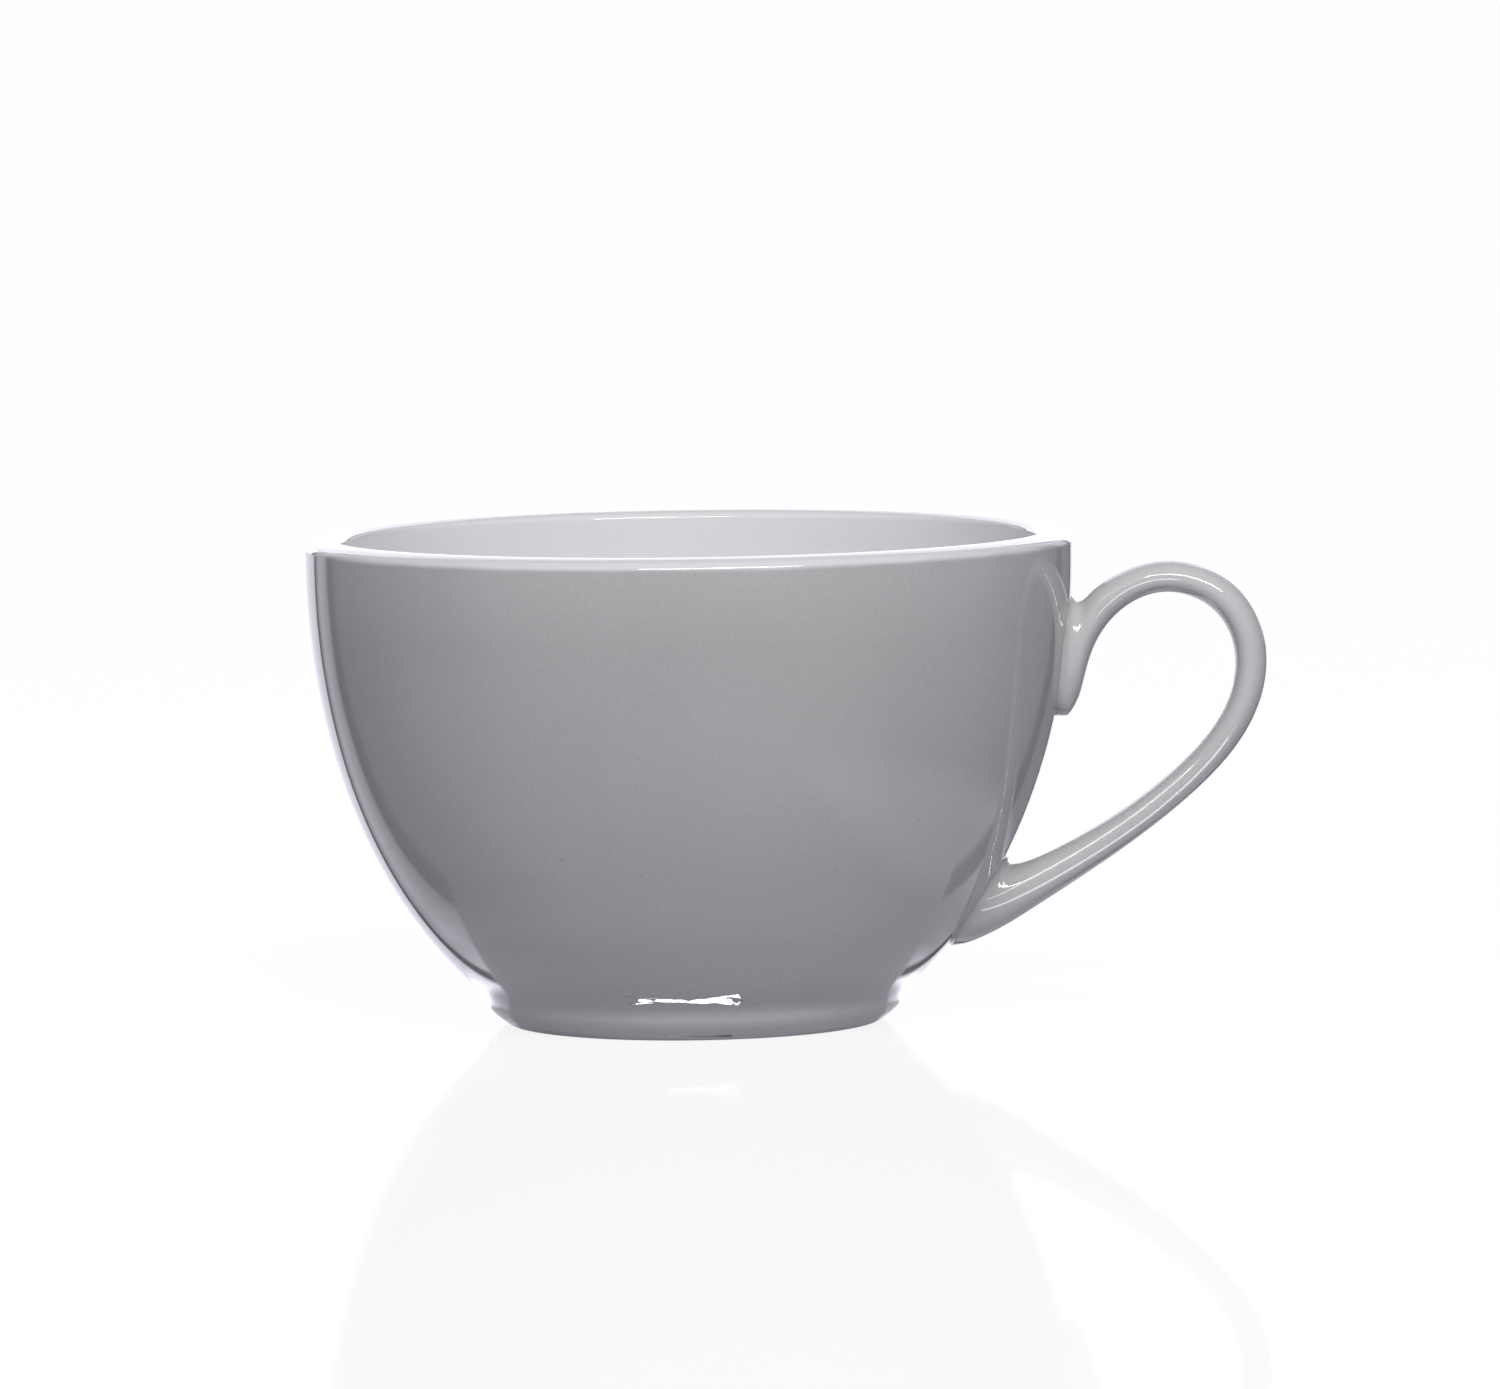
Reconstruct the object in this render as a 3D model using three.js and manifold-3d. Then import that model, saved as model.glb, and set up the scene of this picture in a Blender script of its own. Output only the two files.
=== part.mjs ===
// A low, thick-walled coffee cup of glazed porcelain on a turned foot, with an ear-shaped handle.
// Lengths are in millimetres. +Z is up, the cup stands on z = 0 and its handle points along +X.
import * as THREE from 'three';
import { mergeVertices } from 'three/addons/utils/BufferGeometryUtils.js';
import Module from 'manifold-3d';

// Driving sizes of the bowl. The glazed outside of the wall is one curve, from the neck above
// the foot to the lip, where it stands upright.
const cupHeight = 61.1;
const rimRadius = 48;
const neckRadius = 27.4;
const floorThickness = 4.6;
const hollowRise = 0.7;

// The lip is rounded: its crown lies inside the rim, and each side of it drops to its own depth.
const lipThickness = 4.6;
const lipOuterWidth = 2.6;
const lipOuterDrop = 1.5;
const lipInnerDrop = 1.1;

// Fullness of the wall's two curves: 2 is an ellipse, and more is fuller.
const outsideFullness = 2.1;
const insideFullness = 2.5;

// Driving sizes of the foot, which stands on a narrow flat face.
const footHeight = 4.6;
const footSeatGap = 0.3;
const footTopInset = 0.15;
const footBoreRadius = 20.9;
const footBoreChamfer = 1;
const bearingRadius = 23.2;

// Where the curve of the foot's outer side turns, as shares of its flare and of its height.
const footTurnOutShare = 0.53;
const footTurnUpShare = 0.05;

// The coloured glaze is a coat of its own, which stops just under the lip and leaves it white.
const glazeThickness = 0.4;
const glazeGap = 0.1;
const lipOverhang = 0.1;

// Driving sizes of the handle, and of the slip that holds its two roots to the clay.
const handleTopDrop = 3.6;
const handleFootRise = 3.6;
const handleReach = 25.3;
const handleThickness = 3.85;
const handleWidth = 7;
const rootDepth = 3;
const slipThickness = 0.6;
const slipGap = 0.3;

// Squareness of the handle's section: 2 is an ellipse, and more is squarer.
const handleSquareness = 2.05;

// The handle's run, from the upper root over the top and down to the lower root. Each row gives
// how far out from the wall and how high its middle lies, as shares of the reach and of the
// handle's height, then how thick and how wide it is, as shares of the plain arm, and last how
// its section leans, in degrees: 0 is square to the wall beside it, and 90 is along that wall.
const handleRunShares = [
  [0.000, 0.747, 3.72, 1.40, 98],
  [0.021, 0.753, 3.56, 1.34, 98],
  [0.063, 0.775, 3.05, 1.24, 96],
  [0.095, 0.819, 2.45, 1.14, 93],
  [0.137, 0.864, 1.89, 1.07, 90],
  [0.206, 0.904, 1.45, 1.03, 88.5],
  [0.314, 0.939, 1.14, 1.00, 88.5],
  [0.471, 0.957, 1.05, 1.00, 86],
  [0.667, 0.932, 1.08, 1.00, 69],
  [0.820, 0.864, 1.08, 1.00, 45.5],
  [0.909, 0.763, 1.04, 1.00, 20],
  [0.918, 0.648, 1.00, 1.00, -5.5],
  [0.844, 0.530, 1.00, 1.00, -21.5],
  [0.683, 0.412, 1.00, 1.00, -29],
  [0.489, 0.305, 1.08, 1.00, -33.5],
  [0.284, 0.213, 1.29, 1.06, -37],
  [0.170, 0.168, 1.61, 1.14, -50.5],
  [0.094, 0.142, 2.24, 1.24, -70],
  [0.031, 0.129, 2.95, 1.34, -82.5],
  [0.000, 0.128, 3.30, 1.40, -89.5],
];

// How finely the curves are cut.
const turnSteps = 60;
const wallSteps = 14;
const lipSteps = 5;
const footSteps = 6;
const handleStepsPerRow = 2;
const handleSides = 16;

const glazedGrey = new THREE.MeshStandardMaterial({ color: 0x8e8d8e, roughness: 0.16, metalness: 0 });
const glazedWhite = new THREE.MeshStandardMaterial({ color: 0xecebee, roughness: 0.14, metalness: 0 });
const firedSlip = new THREE.MeshStandardMaterial({ color: 0x858485, roughness: 0.3, metalness: 0 });

// Places that follow from the driving sizes.
const wallTop = cupHeight - lipOuterDrop;
const crownRadius = rimRadius - lipOuterWidth;
const mouthRadius = rimRadius - lipThickness;
const mouthHeight = cupHeight - lipInnerDrop;
const insideFloor = footHeight + floorThickness;
const clayDepth = glazeThickness + glazeGap;
const slipFace = slipGap + slipThickness - clayDepth;
const handleFace = slipFace + slipGap;
const handleFoot = footHeight + handleFootRise;
const handleTop = cupHeight - handleTopDrop;

const wasm = await Module();
wasm.setup();

// Height of the whole curve that the wall is the upper part of.
function wallCurveHeight() {
  const reached = 1 - (neckRadius / rimRadius) ** outsideFullness;
  return (wallTop - footHeight) / reached ** (1 / outsideFullness);
}

// Radius of the glazed outside of the wall at a height.
function wallRadius(height) {
  const drop = Math.max(wallTop - height, 0) / wallCurveHeight();
  return rimRadius * (1 - drop ** outsideFullness) ** (1 / outsideFullness);
}

// How much that radius grows for each unit of rise.
function wallSlope(height) {
  const drop = Math.max(wallTop - height, 0) / wallCurveHeight();
  const flare = drop ** (outsideFullness - 1);
  return rimRadius / wallCurveHeight() * flare * (1 - drop ** outsideFullness) ** (1 / outsideFullness - 1);
}

// How far the wall tips outwards from upright at a height, as an angle.
function wallTip(height) {
  return Math.atan(wallSlope(height));
}

// The direction that points squarely out of the wall at a height.
function wallNormal(height) {
  return new THREE.Vector2(1, -wallSlope(height)).normalize();
}

// The wall's outline from the neck up to a height, at a square distance from its outside.
function wallLine(top, distance) {
  const points = [];
  for (let step = 0; step <= wallSteps; step += 1) {
    const height = footHeight + (top - footHeight) * step / wallSteps;
    const onWall = new THREE.Vector2(wallRadius(height), height);
    points.push(onWall.addScaledVector(wallNormal(height), distance));
  }
  return points;
}

// A quarter of the lip's round, about a centre, from one angle to another.
function lipArc(centreHeight, width, drop, from, to) {
  const points = [];
  for (let step = 0; step <= lipSteps; step += 1) {
    const angle = from + (to - from) * step / lipSteps;
    const radius = crownRadius + width * Math.cos(angle);
    points.push(new THREE.Vector2(radius, centreHeight + drop * Math.sin(angle)));
  }
  return points;
}

// The inside of the bowl, from the mouth down to the middle of the floor.
function insideLine() {
  const depth = mouthHeight - insideFloor;
  const points = [];
  for (let step = 0; step < wallSteps; step += 1) {
    const angle = Math.PI / 2 * step / wallSteps;
    const radius = mouthRadius * Math.cos(angle) ** (2 / insideFullness);
    points.push(new THREE.Vector2(radius, mouthHeight - depth * Math.sin(angle) ** (2 / insideFullness)));
  }
  points.push(new THREE.Vector2(0, insideFloor));
  return points;
}

// The clay of the bowl. Below the lip its wall is drawn in, so that the coat of glaze lies in line.
function bowlProfile() {
  const clayTop = wallTop - lipOverhang;
  return [
    new THREE.Vector2(0, footHeight + hollowRise),
    new THREE.Vector2(footBoreRadius, footHeight),
    ...wallLine(clayTop, -clayDepth),
    ...lipArc(wallTop, lipOuterWidth, lipOuterDrop, 0, Math.PI / 2),
    ...lipArc(mouthHeight, crownRadius - mouthRadius, lipInnerDrop, Math.PI / 2, Math.PI).slice(1),
    ...insideLine().slice(1),
  ];
}

// The coat of coloured glaze on the outside of the bowl.
function coatProfile() {
  const coatTop = wallTop - lipOverhang - glazeGap;
  const outside = wallLine(coatTop, 0);
  const inside = wallLine(coatTop, -glazeThickness).reverse();
  return [...outside, ...inside, outside[0].clone()];
}

// The turned foot: a flat face to stand on, a rounded outer side and a chamfered bore.
function footProfile() {
  const top = footHeight - footSeatGap;
  const topRadius = neckRadius - footTopInset;
  const flare = topRadius - bearingRadius;
  const outerSide = new THREE.QuadraticBezierCurve(
    new THREE.Vector2(bearingRadius, 0),
    new THREE.Vector2(bearingRadius + flare * footTurnOutShare, top * footTurnUpShare),
    new THREE.Vector2(topRadius, top),
  );
  const bearingInner = new THREE.Vector2(footBoreRadius + footBoreChamfer, 0);
  return [
    bearingInner,
    ...outerSide.getPoints(footSteps),
    new THREE.Vector2(footBoreRadius, top),
    new THREE.Vector2(footBoreRadius, footBoreChamfer),
    bearingInner.clone(),
  ];
}

// A solid of revolution about the cup's upright axis.
function turned(profile) {
  return new THREE.LatheGeometry(profile, turnSteps).rotateX(Math.PI / 2);
}

function toSolid(geometry) {
  geometry.deleteAttribute('normal');
  geometry.deleteAttribute('uv');
  const merged = mergeVertices(geometry);
  const corners = merged.index.array;
  const faces = [];
  for (let corner = 0; corner < corners.length; corner += 3) {
    const [a, b, c] = corners.slice(corner, corner + 3);
    if (a !== b && b !== c && c !== a) {
      faces.push(a, b, c);
    }
  }
  const vertProperties = new Float32Array(merged.attributes.position.array);
  return new wasm.Manifold(new wasm.Mesh({ numProp: 3, vertProperties, triVerts: new Uint32Array(faces) }));
}

function toGeometry(solid) {
  const mesh = solid.getMesh();
  const geometry = new THREE.BufferGeometry();
  geometry.setAttribute('position', new THREE.BufferAttribute(mesh.vertProperties, mesh.numProp));
  geometry.setIndex(new THREE.BufferAttribute(mesh.triVerts, 1));
  return geometry;
}

// Joins rings with the same number of points into one closed skin, with a cap on each end.
// Seen along the run of the rings, each goes round counterclockwise.
function loft(rings) {
  const sides = rings[0].length;
  const faces = [];
  for (let ring = 1; ring < rings.length; ring += 1) {
    for (let side = 0; side < sides; side += 1) {
      const next = (side + 1) % sides;
      const [below, above] = [(ring - 1) * sides, ring * sides];
      faces.push(below + side, below + next, above + next, below + side, above + next, above + side);
    }
  }
  const last = (rings.length - 1) * sides;
  for (let side = 1; side + 1 < sides; side += 1) {
    faces.push(0, side + 1, side, last, last + side, last + side + 1);
  }
  const places = rings.flat().flatMap((point) => [point.x, point.y, point.z]);
  const geometry = new THREE.BufferGeometry();
  geometry.setAttribute('position', new THREE.Float32BufferAttribute(places, 3));
  geometry.setIndex(faces);
  return geometry;
}

// A smooth run through one column of the handle's table.
function alongHandle(column) {
  const stops = handleRunShares.map((row) => new THREE.Vector3(row[column], 0, 0));
  const curve = new THREE.CatmullRomCurve3(stops, false, 'catmullrom');
  return (share) => curve.getPoint(share).x;
}

// A power that keeps the sign of its base, which squares off an ellipse.
function signedPower(base, power) {
  return Math.sign(base) * Math.abs(base) ** power;
}

// One ring of the handle's section. An allowance makes it thicker and wider all round.
function handleRing(middle, thick, wide, lean, allowance) {
  const ring = [];
  for (let side = 0; side < handleSides; side += 1) {
    const turn = 2 * Math.PI * side / handleSides;
    const across = (thick / 2 + allowance) * signedPower(Math.cos(turn), 2 / handleSquareness);
    const along = (wide / 2 + allowance) * signedPower(Math.sin(turn), 2 / handleSquareness);
    const out = middle.x + across * Math.cos(lean);
    ring.push(new THREE.Vector3(out, -along, middle.y + across * Math.sin(lean)));
  }
  return ring;
}

// The handle before it is fitted to the wall. Both its ends run into the wall by the root's depth.
function handleBlank(allowance) {
  const [outShare, upShare, thickShare, wideShare, leanDegrees] = [0, 1, 2, 3, 4].map(alongHandle);
  const steps = (handleRunShares.length - 1) * handleStepsPerRow;
  const rings = [];
  for (let step = 0; step <= steps; step += 1) {
    const share = step / steps;
    const height = handleFoot + (handleTop - handleFoot) * upShare(share);
    const middle = new THREE.Vector2(wallRadius(height) + handleReach * outShare(share), height);
    const thick = handleThickness * thickShare(share);
    const wide = handleWidth * wideShare(share);
    const lean = THREE.MathUtils.degToRad(leanDegrees(share)) - wallTip(height);
    const ring = handleRing(middle, thick, wide, lean, allowance);
    const inward = wallNormal(height).multiplyScalar(-rootDepth);
    const sunkRing = ring.map((point) => new THREE.Vector3(point.x + inward.x, point.y, point.z + inward.y));
    if (step === 0) rings.push(sunkRing);
    rings.push(ring);
    if (step === steps) rings.push(sunkRing);
  }
  return toSolid(loft(rings));
}

// The bowl as one full solid, swollen by a distance: what is cut by it follows the wall.
function swollenBowl(distance) {
  const line = wallLine(wallTop, distance);
  return toSolid(turned([
    new THREE.Vector2(0, line[0].y),
    ...line,
    new THREE.Vector2(0, line[wallSteps].y),
  ]));
}

// Everything of a solid that is above the handle's middle height, or below it.
function halfOf(solid, above) {
  const tall = cupHeight * 2;
  const slab = new THREE.BoxGeometry((rimRadius + handleReach) * 2, rimRadius * 2, tall);
  const middle = (handleFoot + handleTop) / 2;
  slab.translate(0, 0, above ? middle + tall / 2 : middle - tall / 2);
  return solid.intersect(toSolid(slab));
}

function piece(name, geometry, material) {
  const mesh = new THREE.Mesh(geometry, material);
  mesh.name = name;
  return mesh;
}

const blank = handleBlank(0);
const slip = blank.intersect(swollenBowl(slipFace).subtract(swollenBowl(slipGap - clayDepth)));
const handle = blank.subtract(swollenBowl(handleFace));
const coat = toSolid(turned(coatProfile())).subtract(handleBlank(slipGap));

const cup = new THREE.Group();
cup.add(piece('bowl', turned(bowlProfile()), glazedWhite));
cup.add(piece('foot_ring', turned(footProfile()), glazedGrey));
cup.add(piece('outer_glaze', toGeometry(coat), glazedGrey));
cup.add(piece('handle', toGeometry(handle), glazedGrey));
cup.add(piece('upper_slip_joint', toGeometry(halfOf(slip, true)), firedSlip));
cup.add(piece('lower_slip_joint', toGeometry(halfOf(slip, false)), firedSlip));

// The origin is under the middle of the whole cup, handle included, so the bowl stands off it.
const extent = new THREE.Box3().setFromObject(cup);
cup.position.x = -(extent.min.x + extent.max.x) / 2;

export default cup;
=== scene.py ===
# %% [markdown]
# # A coffee cup of glazed porcelain
#
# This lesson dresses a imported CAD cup: a turned bowl, a foot, a coat of grey glaze on the outside
# and an ear-shaped handle. The CAD solids stay as the fixed frame. A finer piece is made for each
# of them here, in metres and in the same place, and gets a material with its own grain and gloss.
# The script makes the glazes, then the pieces, then the small studio that the cup stands in.

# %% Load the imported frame
import math

import bmesh
import bpy
import numpy as np
from mathutils import Matrix, Vector


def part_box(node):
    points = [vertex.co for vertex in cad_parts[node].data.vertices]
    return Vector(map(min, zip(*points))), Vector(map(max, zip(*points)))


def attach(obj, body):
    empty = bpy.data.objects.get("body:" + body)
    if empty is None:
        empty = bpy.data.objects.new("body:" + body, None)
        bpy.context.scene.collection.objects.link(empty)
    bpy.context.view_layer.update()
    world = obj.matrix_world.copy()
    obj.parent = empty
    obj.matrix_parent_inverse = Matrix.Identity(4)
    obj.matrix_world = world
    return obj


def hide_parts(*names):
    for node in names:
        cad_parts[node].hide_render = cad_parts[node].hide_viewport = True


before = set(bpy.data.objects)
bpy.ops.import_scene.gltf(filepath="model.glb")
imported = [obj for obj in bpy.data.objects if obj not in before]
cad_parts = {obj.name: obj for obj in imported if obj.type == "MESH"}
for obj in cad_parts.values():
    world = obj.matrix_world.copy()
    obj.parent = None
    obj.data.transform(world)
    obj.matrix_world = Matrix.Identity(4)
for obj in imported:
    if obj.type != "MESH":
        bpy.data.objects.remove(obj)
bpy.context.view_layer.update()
print("nodes in the frame:", sorted(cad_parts))

# %% [markdown]
# ## Sizes
#
# On a real cup the sizes come from the plaster mould and the turning tool. They could be read off
# the CAD meshes point by point, but a few numbers and two curves say it better: the outside and
# the inside of the wall are each a quarter of a superellipse, which is an ellipse with a fuller
# shoulder. Lengths are in millimetres here and become metres when a mesh is made.

# %% Sizes of the bowl, its lip and its foot
MM = 0.001
ML = 1e-6
CUP_HEIGHT = 61.1
RIM_RADIUS = 48.0
NECK_RADIUS = 27.4
FOOT_HEIGHT = 4.6
LIP_OUTER_WIDTH = 2.6
LIP_OUTER_DROP = 1.5
LIP_THICKNESS = 4.6
LIP_INNER_DROP = 1.1
OUTSIDE_FULLNESS = 2.1
INSIDE_FULLNESS = 2.5
INSIDE_FLOOR = 9.2
HOLLOW_RISE = 0.7
BORE_RADIUS = 20.9
BEARING_RADIUS = 23.2

WALL_TOP = CUP_HEIGHT - LIP_OUTER_DROP
CROWN_RADIUS = RIM_RADIUS - LIP_OUTER_WIDTH
MOUTH_RADIUS = RIM_RADIUS - LIP_THICKNESS
MOUTH_HEIGHT = CUP_HEIGHT - LIP_INNER_DROP
NECK_SHARE = NECK_RADIUS / RIM_RADIUS
NECK_DROP_SHARE = (1 - NECK_SHARE ** OUTSIDE_FULLNESS) ** (1 / OUTSIDE_FULLNESS)
WALL_CURVE = (WALL_TOP - FOOT_HEIGHT) / NECK_DROP_SHARE
LIP_ARC_STEPS = 14

bowl_low, bowl_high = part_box("bowl")
AXIS_X = (bowl_low.x + bowl_high.x) / 2
print(f"bowl axis at x = {AXIS_X * 1000:.2f} mm, whole wall curve {WALL_CURVE:.2f} mm tall")


# %% The outside of the wall as a rule
def wall_radius(height):
    drop = np.clip((WALL_TOP - np.asarray(height, float)) / WALL_CURVE, 0, 1)
    return RIM_RADIUS * (1 - drop ** OUTSIDE_FULLNESS) ** (1 / OUTSIDE_FULLNESS)


def wall_slope(height):
    drop = np.clip((WALL_TOP - np.asarray(height, float)) / WALL_CURVE, 0, 1)
    bend = (1 - drop ** OUTSIDE_FULLNESS) ** (1 / OUTSIDE_FULLNESS - 1)
    return RIM_RADIUS / WALL_CURVE * drop ** (OUTSIDE_FULLNESS - 1) * bend


def lip_point(turn, width, base, rise):
    """A point on a quarter ellipse of the lip, at a turn up from level."""
    return CROWN_RADIUS + width * math.cos(turn), base + rise * math.sin(turn)


def outside_line(start, stop, steps):
    """Points (radius, height) up the wall and on over the lip's outer side to a stop on the lip."""
    heights = np.linspace(start, WALL_TOP, steps)
    points = [(float(wall_radius(height)), height) for height in heights]
    top_turn = math.asin((stop - WALL_TOP) / LIP_OUTER_DROP)
    for turn in np.linspace(0, top_turn, LIP_ARC_STEPS)[1:]:
        points.append(lip_point(turn, LIP_OUTER_WIDTH, WALL_TOP, LIP_OUTER_DROP))
    return points


print("radius of the wall at 10, 30 and 50 mm:", np.round(wall_radius([10, 30, 50]), 2))

# %% [markdown]
# ## Turning a profile
#
# Bowl, coat and foot are bodies of revolution. The Screw or Spin tool would turn a profile too,
# but this shape follows a rule, so a Geometry Nodes tree does it: a grid has one row for each
# point of the profile and one column for each step round the axis, and every grid point moves to
# where its profile point stands after that much turning. The same tree adds the faint ripple that
# a fired wall always has, which is what makes its reflections look poured and not machined.


# %% Small helpers for building a node tree
class Wiring:
    """Adds nodes to a tree and joins them, so that a formula reads like one."""

    def __init__(self, tree):
        self.tree = tree

    def node(self, kind, inputs=None, **settings):
        made = self.tree.nodes.new(kind)
        for name, value in settings.items():
            setattr(made, name, value)
        for key, value in (inputs or {}).items():
            self.feed(made.inputs[key], value)
        return made

    def feed(self, socket, value):
        if isinstance(value, bpy.types.NodeSocket):
            self.tree.links.new(value, socket)
        else:
            socket.default_value = value

    def math(self, operation, first, second=0.0, third=None):
        inputs = {0: first, 1: second}
        if third is not None:
            inputs[2] = third
        return self.node("ShaderNodeMath", inputs, operation=operation).outputs[0]

    def plus(self, first, second):
        return self.math("ADD", first, second)

    def minus(self, first, second):
        return self.math("SUBTRACT", first, second)

    def times(self, first, second):
        return self.math("MULTIPLY", first, second)

    def over(self, first, second):
        return self.math("DIVIDE", first, second)

    def parts(self, vector):
        """The x, y and z of a vector."""
        return self.node("ShaderNodeSeparateXYZ", {0: vector}).outputs

    def joined(self, x, y, z):
        """A vector of an x, a y and a z."""
        return self.node("ShaderNodeCombineXYZ", {0: x, 1: y, 2: z}).outputs[0]

    def blend(self, share, first, second):
        """A number that goes from the first to the second as the share goes from 0 to 1."""
        made = self.node("ShaderNodeMix", {"Factor": share, "A": first, "B": second}, data_type="FLOAT")
        return made.outputs["Result"]


def new_geometry_tree(name, inputs):
    """A Geometry Nodes tree with these named inputs. Returns its wiring, input node and output."""
    tree = bpy.data.node_groups.new(name, "GeometryNodeTree")
    for label, kind, value in inputs:
        socket = tree.interface.new_socket(name=label, in_out="INPUT", socket_type=kind)
        if value is not None:
            socket.default_value = value
    tree.interface.new_socket(name="Geometry", in_out="OUTPUT", socket_type="NodeSocketGeometry")
    wiring = Wiring(tree)
    return wiring, wiring.node("NodeGroupInput"), wiring.node("NodeGroupOutput")


def run_geometry_tree(name, start_mesh, tree, values):
    """Runs a tree on a mesh with named values and returns a new object with the plain result."""
    carrier = bpy.data.objects.new(name + "_carrier", start_mesh)
    bpy.context.scene.collection.objects.link(carrier)
    modifier = carrier.modifiers.new("shape", "NODES")
    modifier.node_group = tree
    for item in tree.interface.items_tree:
        if item.item_type == "SOCKET" and item.in_out == "INPUT" and item.name in values:
            modifier[item.identifier] = values[item.name]
    graph = bpy.context.evaluated_depsgraph_get()
    mesh = bpy.data.meshes.new_from_object(carrier.evaluated_get(graph), depsgraph=graph)
    carrier.modifiers.remove(modifier)
    bpy.data.objects.remove(carrier)
    mesh.name = name
    piece = bpy.data.objects.new(name, mesh)
    bpy.context.scene.collection.objects.link(piece)
    return piece


# %% The tree that turns a profile about the cup's axis
SAME_PLACE = 1e-7
RIPPLE_PER_METRE = 30.0


def make_turning_tree():
    wiring, given, out = new_geometry_tree("turn_on_the_wheel", [
        ("Profile", "NodeSocketGeometry", None),
        ("Axis X", "NodeSocketFloat", 0.0),
        ("Turn Steps", "NodeSocketInt", 64),
        ("Ripple Share", "NodeSocketFloat", 0.0),
        ("Ripple Size", "NodeSocketFloat", 1.0),
        ("Seed", "NodeSocketFloat", 0.0),
        ("Finish", "NodeSocketMaterial", None),
    ])
    profile = given.outputs["Profile"]
    count = wiring.node("GeometryNodeAttributeDomainSize", {"Geometry": profile}).outputs["Point Count"]
    columns = wiring.plus(given.outputs["Turn Steps"], 1.0)
    grid = wiring.node("GeometryNodeMeshGrid", {"Vertices X": count, "Vertices Y": columns})
    index = wiring.node("GeometryNodeInputIndex").outputs[0]
    row = wiring.math("FLOOR", wiring.over(index, columns))
    column = wiring.minus(index, wiring.times(row, columns))
    place = wiring.node("GeometryNodeInputPosition").outputs[0]
    point = wiring.node("GeometryNodeSampleIndex", data_type="FLOAT_VECTOR", domain="POINT")
    wiring.feed(point.inputs["Geometry"], profile)
    wiring.feed(point.inputs["Value"], place)
    wiring.feed(point.inputs["Index"], row)
    reach, _, height = wiring.parts(point.outputs[0])
    turn = wiring.times(column, wiring.over(math.tau, given.outputs["Turn Steps"]))
    cosine, sine = wiring.math("COSINE", turn), wiring.math("SINE", turn)
    spot = wiring.joined(cosine, sine, wiring.times(height, RIPPLE_PER_METRE))
    ripple = wiring.node("ShaderNodeTexNoise", noise_dimensions="4D")
    for key, value in (("Vector", spot), ("W", given.outputs["Seed"]),
                       ("Scale", given.outputs["Ripple Size"]), ("Detail", 1.0)):
        wiring.feed(ripple.inputs[key], value)
    swing = wiring.minus(ripple.outputs[0], 0.5)
    growth = wiring.math("MULTIPLY_ADD", swing, given.outputs["Ripple Share"], 1.0)
    radius = wiring.times(reach, growth)
    x_place = wiring.math("MULTIPLY_ADD", radius, cosine, given.outputs["Axis X"])
    y_place = wiring.times(radius, sine)
    moved_to = wiring.joined(x_place, y_place, height)
    moved = wiring.node("GeometryNodeSetPosition", {"Geometry": grid.outputs["Mesh"], "Position": moved_to})
    merged = wiring.node("GeometryNodeMergeByDistance", {
        "Geometry": moved.outputs[0], "Distance": SAME_PLACE,
    })
    smooth = wiring.node("GeometryNodeSetShadeSmooth", {"Geometry": merged.outputs[0]})
    real = wiring.node("GeometryNodeRealizeInstances", {0: smooth.outputs[0]})
    finished = wiring.node("GeometryNodeSetMaterial", {"Geometry": real.outputs[0]})
    wiring.feed(finished.inputs["Material"], given.outputs["Finish"])
    wiring.feed(out.inputs[0], finished.outputs[0])
    return wiring.tree


TURN_STEPS = 240
RIPPLE_SHARE = 0.0012
RIPPLE_SIZE = 1.6
RIPPLE_SEED = 3.0
turning_tree = make_turning_tree()
print("turning tree has", len(turning_tree.nodes), "nodes")


# %% Turn a closed profile into a piece
def close_and_face_out(piece):
    """Merges doubles, turns every face outwards and says whether the skin is closed."""
    work = bmesh.new()
    work.from_mesh(piece.data)
    bmesh.ops.remove_doubles(work, verts=work.verts, dist=SAME_PLACE)
    bmesh.ops.recalc_face_normals(work, faces=work.faces)
    if work.calc_volume(signed=True) < 0:
        bmesh.ops.reverse_faces(work, faces=work.faces)
    open_edges = sum(1 for edge in work.edges if len(edge.link_faces) != 2)
    volume = work.calc_volume() / ML
    work.to_mesh(piece.data)
    work.free()
    count = len(piece.data.polygons)
    print(f"{piece.name}: {count} faces, {volume:.1f} ml of clay, {open_edges} open edges")


def turned_piece(name, profile, finish):
    line = bpy.data.meshes.new(name + "_profile")
    corners = [(radius * MM, 0.0, height * MM) for radius, height in profile]
    line.from_pydata(corners, [(i, i + 1) for i in range(len(corners) - 1)], [])
    piece = run_geometry_tree(name, line, turning_tree, {
        "Axis X": AXIS_X, "Turn Steps": TURN_STEPS, "Ripple Share": RIPPLE_SHARE,
        "Ripple Size": RIPPLE_SIZE, "Seed": RIPPLE_SEED, "Finish": finish,
    })
    close_and_face_out(piece)
    return piece


# %% [markdown]
# ## Glazes
#
# The white is a clear glaze over a white body, and the grey is a coloured glaze over the same
# body. Both are glass, so both take a low roughness and the Fresnel of the Principled shader, and
# neither needs a metal or a coat layer. What keeps them from looking like plastic is small: the
# colour clouds a little, a fine grain shows in it, a few pinholes stay open, and the surface has
# a faint orange peel. All of that is noise on Object coordinates, which are metres here.


# %% Helpers for a finish
NOISE_SPAN = (0.3, 0.7)


def new_finish(name):
    finish = bpy.data.materials.new(name)
    finish.use_nodes = True
    finish.node_tree.nodes.clear()
    wiring = Wiring(finish.node_tree)
    shader = wiring.node("ShaderNodeBsdfPrincipled")
    wiring.node("ShaderNodeOutputMaterial", {"Surface": shader.outputs[0]})
    return finish, wiring, shader


def noise(wiring, place, scale, detail=2.0):
    made = wiring.node("ShaderNodeTexNoise", {"Vector": place, "Scale": scale, "Detail": detail})
    return made.outputs["Fac"]


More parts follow.
